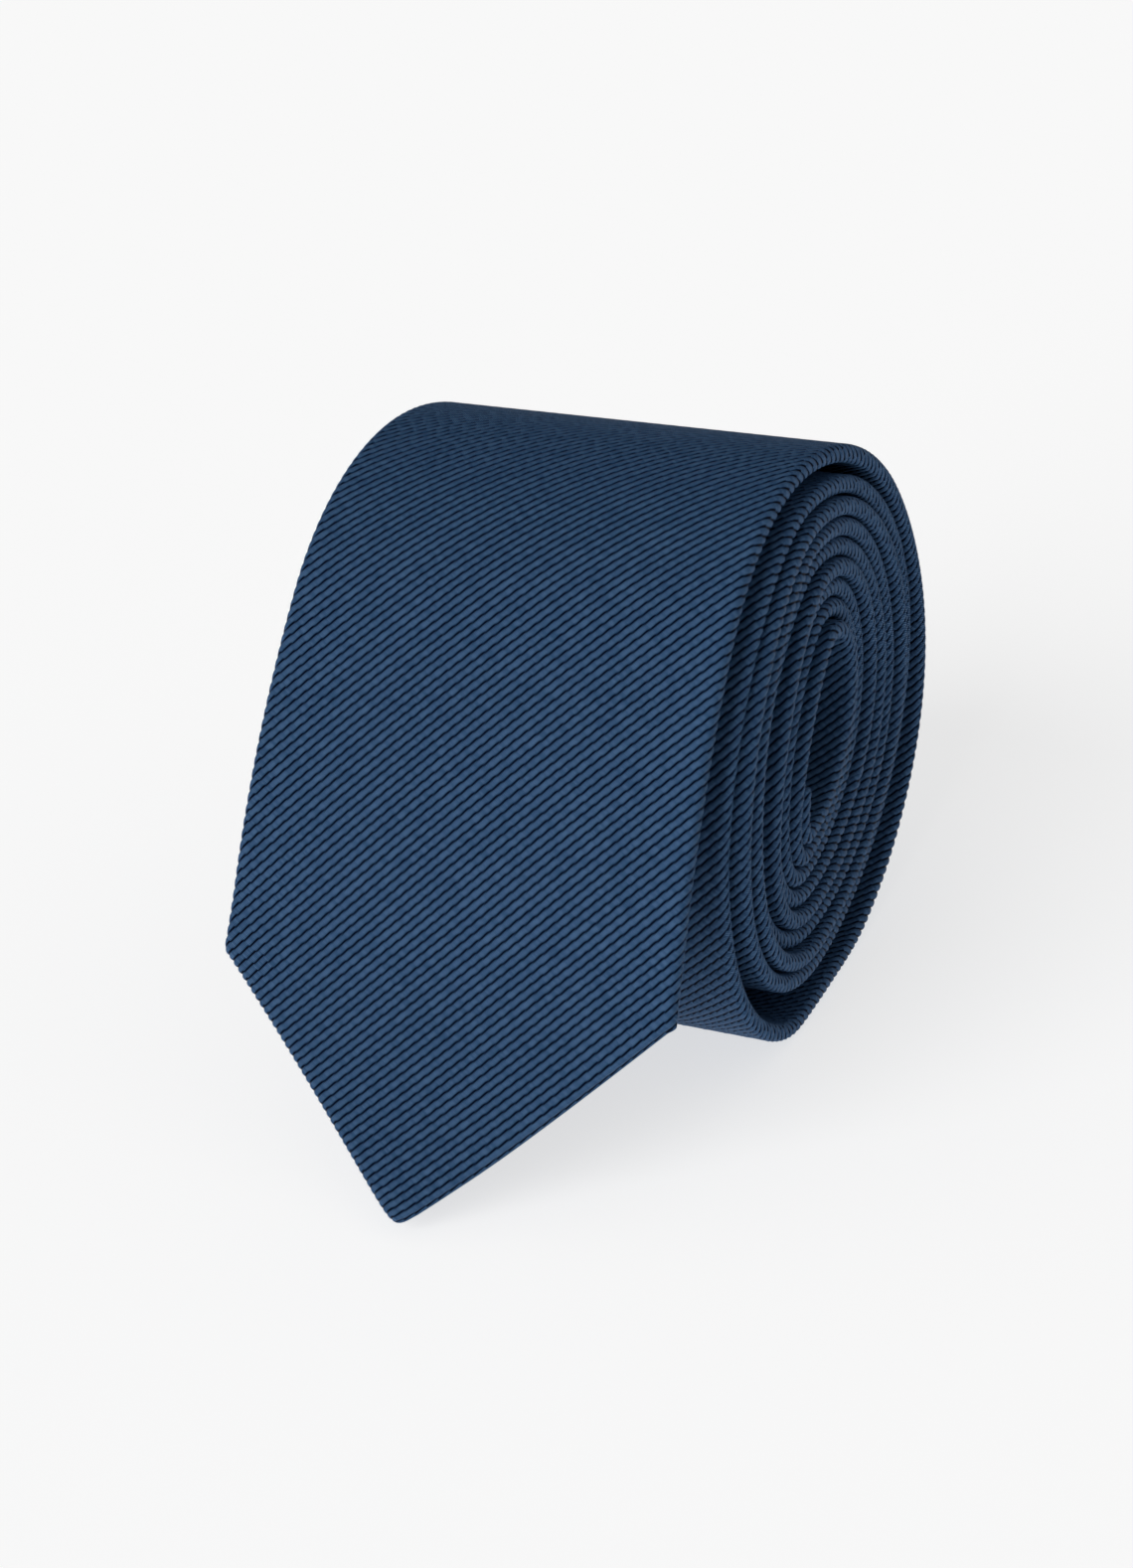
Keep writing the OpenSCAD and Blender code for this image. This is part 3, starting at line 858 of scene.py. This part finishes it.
# How much the painted highlights on the threads differ at random in strength, and how strong the weakest is
FLECK, FLECK_LEAST = 0.45, 0.42
THREAD_RELIEF, FACE_BUMP, FACE_BUMP_STRENGTH = 0.35, 0.07 * MM, 0.8
# Painted shade for the grooves, the cloth's own navy, and a painted highlight for the threads' crowns
NAVY_GROOVE_SHADE = (0.0005, 0.002, 0.008, 1)
NAVY = (0.003, 0.025, 0.077, 1)
NAVY_THREAD_HIGHLIGHT = (0.125, 0.235, 0.415, 1)
WOOL_DARK, WOOL_LIGHT = (0.40, 0.37, 0.30, 1), (0.66, 0.62, 0.54, 1)
SATIN_DARK, SATIN_LIGHT = (0.012, 0.030, 0.065, 1), (0.024, 0.055, 0.11, 1)
RIBBON_DARK, RIBBON_LIGHT = (0.006, 0.009, 0.018, 1), (0.02, 0.028, 0.045, 1)
THREAD_DARK, THREAD_LIGHT = (0.015, 0.045, 0.1, 1), (0.05, 0.11, 0.2, 1)
PLAIN_SPECULAR = 0.4


def face_fabric():
    """Ribbed cloth: fine threads across each rib with painted highlights, and grooves that step sideways, in
    painted shade.
    """
    tree = Tree("ribbed_face_fabric")
    across, along, _ = tree.flat()
    rib = tree.math("DIVIDE", tree.math("SUBTRACT", across, RIB_START), RIB_PITCH)
    groove = tree.math("ROUND", rib)
    off = tree.math("SUBTRACT", rib, groove)
    step = tree.math("FRACT", tree.math("ADD", tree.math("DIVIDE", along, GROOVE_STEP), tree.noise(groove)))
    centre = tree.math("MULTIPLY", tree.math("SUBTRACT", step, 0.5), GROOVE_SHIFT)
    distance = tree.math("ABSOLUTE", tree.math("SUBTRACT", off, centre))
    # crown is 0 in a groove and 1 on a rib: it masks the painted groove shade and the painted thread
    # highlights, and shapes the bump
    crown = tree.ramp(distance, GROOVE_SHADE_DARKEST, GROOVE_EDGE)
    crown_index = tree.math("FLOOR", rib)
    slant = tree.math("MULTIPLY_ADD", rib, THREAD_SLANT, tree.noise(crown_index))
    phase = tree.math("ADD", tree.math("DIVIDE", along, THREAD), slant)
    wave = tree.math("SINE", tree.math("MULTIPLY", phase, 2 * math.pi))
    thread = tree.math("MULTIPLY_ADD", wave, 0.5, 0.5)
    cell = tree.add("ShaderNodeCombineXYZ", {0: crown_index, 1: tree.math("FLOOR", phase)})
    noise = tree.add("ShaderNodeTexWhiteNoise", {"Vector": cell.outputs[0]}).outputs["Value"]
    highlight_fleck = tree.math("MULTIPLY_ADD", noise, FLECK, FLECK_LEAST)
    # Painted highlight: each thread's crown on a rib is made lighter, by a random amount per thread
    light = tree.math("MULTIPLY", tree.math("MULTIPLY", thread, crown), highlight_fleck)
    colour = tree.mix(light, NAVY, NAVY_THREAD_HIGHLIGHT)
    # Painted shade: the grooves between the ribs get a near-black navy
    colour = tree.mix(crown, NAVY_GROOVE_SHADE, colour)
    height = tree.math("ADD", crown, tree.math("MULTIPLY", thread, THREAD_RELIEF))
    tree.bump(height, FACE_BUMP, FACE_BUMP_STRENGTH)
    return tree.finish(colour, roughness=0.5, specular=0.03)


def plain_cloth(name, dark, light, size, roughness, sheen):
    """Cloth with a fine even weave: two crossed waves of size millimetres, a little uneven."""
    tree = Tree(name)
    across, along, place_in_cloth = tree.flat()
    waves = [tree.math("SINE", tree.math("MULTIPLY", value, 2 * math.pi / size)) for value in (across, along)]
    weave = tree.math("MULTIPLY_ADD", tree.math("MULTIPLY", *waves), 0.5, 0.5)
    noise = tree.add("ShaderNodeTexNoise", {"Vector": place_in_cloth, "Scale": 0.7, "Detail": 3.0})
    share = tree.math("MULTIPLY_ADD", noise.outputs["Fac"], 0.5, tree.math("MULTIPLY", weave, 0.5))
    tree.bump(weave, 0.04 * MM, 0.6)
    return tree.finish(tree.mix(share, dark, light), roughness, PLAIN_SPECULAR, sheen)


def twisted_thread():
    """Thread with a fine slanted twist."""
    tree = Tree("sewing_thread")
    place_in = tree.add("ShaderNodeTexCoord").outputs["Object"]
    wave = tree.add("ShaderNodeTexWave", {"Vector": place_in, "Scale": 900.0, "Distortion": 1.5},
                    bands_direction="DIAGONAL")
    tree.bump(wave.outputs["Fac"], 0.03 * MM, 0.7)
    colour = tree.mix(wave.outputs["Fac"], THREAD_DARK, THREAD_LIGHT)
    return tree.finish(colour, 0.5, PLAIN_SPECULAR, 0.1)


MATERIALS = {
    "face_fabric": face_fabric(),
    "interlining_wool": plain_cloth("brushed_wool", WOOL_DARK, WOOL_LIGHT, 0.8, roughness=0.95, sheen=0.4),
    "tipping_fabric": plain_cloth("satin_tipping", SATIN_DARK, SATIN_LIGHT, 0.35, roughness=0.32, sheen=0.1),
    "sewing_thread": twisted_thread(),
    "label_ribbon": plain_cloth("woven_ribbon", RIBBON_DARK, RIBBON_LIGHT, 0.4, roughness=0.4, sheen=0.1),
}


# ---- The pieces, their bodies and the CAD nodes they stand for ----

BEND_FROM = (0, float(path_at(BEND_START, "y")) * MM, float(path_at(BEND_START, "z")) * MM)
BEND_TO = (0, float(path_at(BEND_END, "y")) * MM, BEND_FROM[2])


def piece(obj, slot, body, *nodes):
    """Attaches a piece to its body, or applies the transform of one with no body, and hides its CAD nodes."""
    if body:
        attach(obj, body)
    else:
        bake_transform(obj)
    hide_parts(*nodes)
    return obj


def cloth_piece(made, body, *nodes):
    obj, cloth = made
    flat = np.concatenate(cloth.flat)
    piece(obj, "face_fabric", body, *nodes)


def build_cloths():
    fabric = MATERIALS["face_fabric"]
    blade, neck = Panel(2 * SHOULDER, BLADE_V), Panel(NECK_W, 0, pointed=False)
    tail = Panel(TAIL_W, TAIL_V, turned=True)
    cloth_piece(blade_cloth(fabric, blade), None, "blade_end_shell")
    cloth_piece(inner_blade_cloth(fabric, Panel(BLADE_W, 0, pointed=False)), "roll", "blade_shell")
    cloth_piece(neck_cloth(fabric, neck), "roll", "neck_shell")
    cloth_piece(tail_cloth(fabric, tail), "roll", "tail_shell")


def build_layers():
    wool = ("interlining_wool", wool_half, WOOL_HEIGHTS)
    tipping = ("tipping_fabric", tipping_half, TIPPING_HEIGHTS)
    tail_end = TIE_LEN - LAYER_START
    tail_tipping_start = TIE_LEN - TAIL_V - TIPPING_PAST_V
    layers = [
        ("blade_wool", wool, LAYER_START, CUT_D, None, "blade_end_interlining"),
        ("rolled_wool", wool, CUT_D, tail_end, "roll", "interlining"),
        ("blade_lining", tipping, LAYER_START, BLADE_V + TIPPING_PAST_V, None, "blade_tipping"),
        ("tail_lining", tipping, tail_tipping_start, tail_end, "roll", "tail_tipping"),
    ]
    for name, (slot, half, heights), start, end, body, node in layers:
        obj = band(name, MATERIALS[slot], start, end, half, heights, LAYER_STEP, weave=LAYER_WEAVE)
        piece(obj, slot, body, node)
        width = 2 * float(np.max(half(np.linspace(start, end, 200)))) * MM
        area = 2 * float(np.mean(half(np.linspace(start, end, 400)))) * (end - start) * MM * MM


def build_bands():
    """The keeper loop and the labels. Heights are from the tops of the ribs on the tie's back."""
    care_d = TAIL_TACK_D - CARE_BEFORE_TACK
    bands = [
        ("keeper_band", "face_fabric", "keeper_loop", KEEPER_D, KEEPER_LEN, KEEPER_SPAN, -0.5, -0.1,
         KEEPER_PUFF),
        ("label_ribbon", "label_ribbon", "label", LABEL_D, LABEL_LEN, LABEL_W, -0.26, -0.04, 0.0),
        ("care_ribbon", "label_ribbon", "care_label", care_d, CARE_LEN, CARE_W, -0.16, -0.04, 0.0),
    ]
    for name, slot, node, start, length, width, low, high, puff in bands:
        levels = [-HALF_T - RIB_DEPTH * (1 - RIB_SINK) + height for height in (low, high)]
        obj = band(name, MATERIALS[slot], start, start + length, even_half(width), levels, BAND_STEP,
                   columns=BAND_COLUMNS, puff=puff)
        piece(obj, slot, "roll", node)


def build_threads():
    thread = MATERIALS["sewing_thread"]
    blade_seam = tipping_seam("blade_lining_stitches", thread, SHOULDER, BLADE_V, lambda d: d)
    blade_tack = bar_tack("blade_tack", thread, BLADE_V + TACK_ABOVE_V, BLADE_TACK_W)
    tail_seam = tipping_seam("tail_lining_stitches", thread, TAIL_W / 2, TAIL_V, lambda d: TIE_LEN - d)
    sewn = [
        (blade_seam, "blade_end", "blade_tipping_seam"),
        (blade_tack, "blade_end", "blade_bar_tack"),
        (tail_seam, "roll", "tail_tipping_seam"),
        (bar_tack("tail_tack", thread, TAIL_TACK_D, TAIL_TACK_W), "roll", "tail_bar_tack"),
        (keeper_stitches(thread), "roll", "keeper_stitches"),
        (label_stitches(thread), "roll", "label_stitches"),
        (slip_stitch(thread), "roll", "slip_stitch_thread"),
        (panel_seam("blade_to_neck_seam", thread, BLADE_SEAM_D), "roll", "blade_neck_seam"),
        (panel_seam("neck_to_tail_seam", thread, TAIL_SEAM_D), "roll", "neck_tail_seam"),
    ]
    for obj, body, node in sewn:
        piece(obj, "sewing_thread", body, node)


build_cloths()
build_layers()
build_bands()
build_threads()


# ---- Floor, light and camera: angles in degrees, and the camera's lengths in millimetres ----

FLOOR_LEVEL, FLOOR_REACH = -0.0002, 4.0
BACKDROP = 0.939
FLOOR_COLOUR = 0.6
WORLD_LIGHT = 0.25
KEY_LIGHT, KEY_SPREAD = 0.55, 50
KEY_FROM = Vector((-0.3, -0.86, 0.42)).normalized()


def build_floor():
    """A pale floor that is partly lit from below, like a light table, so that shadows stay faint."""
    mesh = bpy.data.meshes.new("floor")
    square = ((-1, -1), (1, -1), (1, 1), (-1, 1))
    corners = [(x * FLOOR_REACH, y * FLOOR_REACH, FLOOR_LEVEL) for x, y in square]
    mesh.from_pydata(corners, [], [(0, 1, 2, 3)])
    tree = Tree("floor_paper")
    mesh.materials.append(tree.finish((FLOOR_COLOUR, FLOOR_COLOUR, FLOOR_COLOUR, 1), 1.0, 0.0))
    tree.shader.inputs["Emission Color"].default_value = (1, 1, 1, 1)
    lit = FLOOR_COLOUR * (WORLD_LIGHT + KEY_LIGHT * KEY_FROM.z)
    tree.shader.inputs["Emission Strength"].default_value = BACKDROP - lit
    floor = bpy.data.objects.new("floor", mesh)
    bpy.context.scene.collection.objects.link(floor)


def build_world():
    """Even white surroundings: what the camera sees behind the floor matches the lit floor."""
    world = bpy.data.worlds.new("studio")
    bpy.context.scene.world = world
    world.use_nodes = True
    nodes, links = world.node_tree.nodes, world.node_tree.links
    background = nodes["Background"]
    path, mix = nodes.new("ShaderNodeLightPath"), nodes.new("ShaderNodeMix")
    mix.data_type = "RGBA"
    mix.inputs[6].default_value = (WORLD_LIGHT, WORLD_LIGHT, WORLD_LIGHT, 1)
    mix.inputs[7].default_value = (BACKDROP, BACKDROP, BACKDROP, 1)
    links.new(path.outputs["Is Camera Ray"], mix.inputs[0])
    links.new(mix.outputs[2], background.inputs["Color"])


def build_key_light():
    """One broad soft light from above, in front on the left."""
    light = bpy.data.lights.new("key", "SUN")
    light.angle = math.radians(KEY_SPREAD)
    light.energy = math.pi * KEY_LIGHT
    obj = bpy.data.objects.new("key", light)
    obj.rotation_euler = KEY_FROM.to_track_quat("Z", "Y").to_euler()
    bpy.context.scene.collection.objects.link(obj)


CAMERA_AZIMUTH, CAMERA_ELEVATION, CAMERA_ROLL = 25.23, 28.02, -3.49
CAMERA_DISTANCE, CAMERA_TARGET = 390.0, (0.0, 1.88, 43.33)
CAMERA_RIGHT, CAMERA_UP = -0.18, -8.08
# The focal length, in widths of the picture
FOCAL_WIDTHS = 2.5588
SENSOR = 36.0


def build_camera():
    """The photo's camera: it looks back at the roll from the front, on the right."""
    azimuth, elevation = math.radians(CAMERA_AZIMUTH), math.radians(CAMERA_ELEVATION)
    roll = math.radians(CAMERA_ROLL)
    back = Vector((math.sin(azimuth) * math.cos(elevation), -math.cos(azimuth) * math.cos(elevation),
                   math.sin(elevation)))
    level = Vector((math.cos(azimuth), math.sin(azimuth), 0))
    upright = back.cross(level)
    right = level * math.cos(roll) + upright * math.sin(roll)
    up = upright * math.cos(roll) - level * math.sin(roll)
    at = Vector(CAMERA_TARGET) + back * CAMERA_DISTANCE + right * CAMERA_RIGHT + up * CAMERA_UP
    data = bpy.data.cameras.new("camera")
    data.sensor_fit, data.sensor_width, data.lens = "HORIZONTAL", SENSOR, SENSOR * FOCAL_WIDTHS
    data.clip_start, data.clip_end = 0.01, 20
    camera = bpy.data.objects.new("camera", data)
    camera.matrix_world = Matrix((right, up, back)).transposed().to_4x4()
    camera.location = at * MM
    bpy.context.scene.collection.objects.link(camera)
    bpy.context.scene.camera = camera


build_floor()
build_world()
build_key_light()
build_camera()
bpy.context.scene.view_settings.view_transform = "Standard"
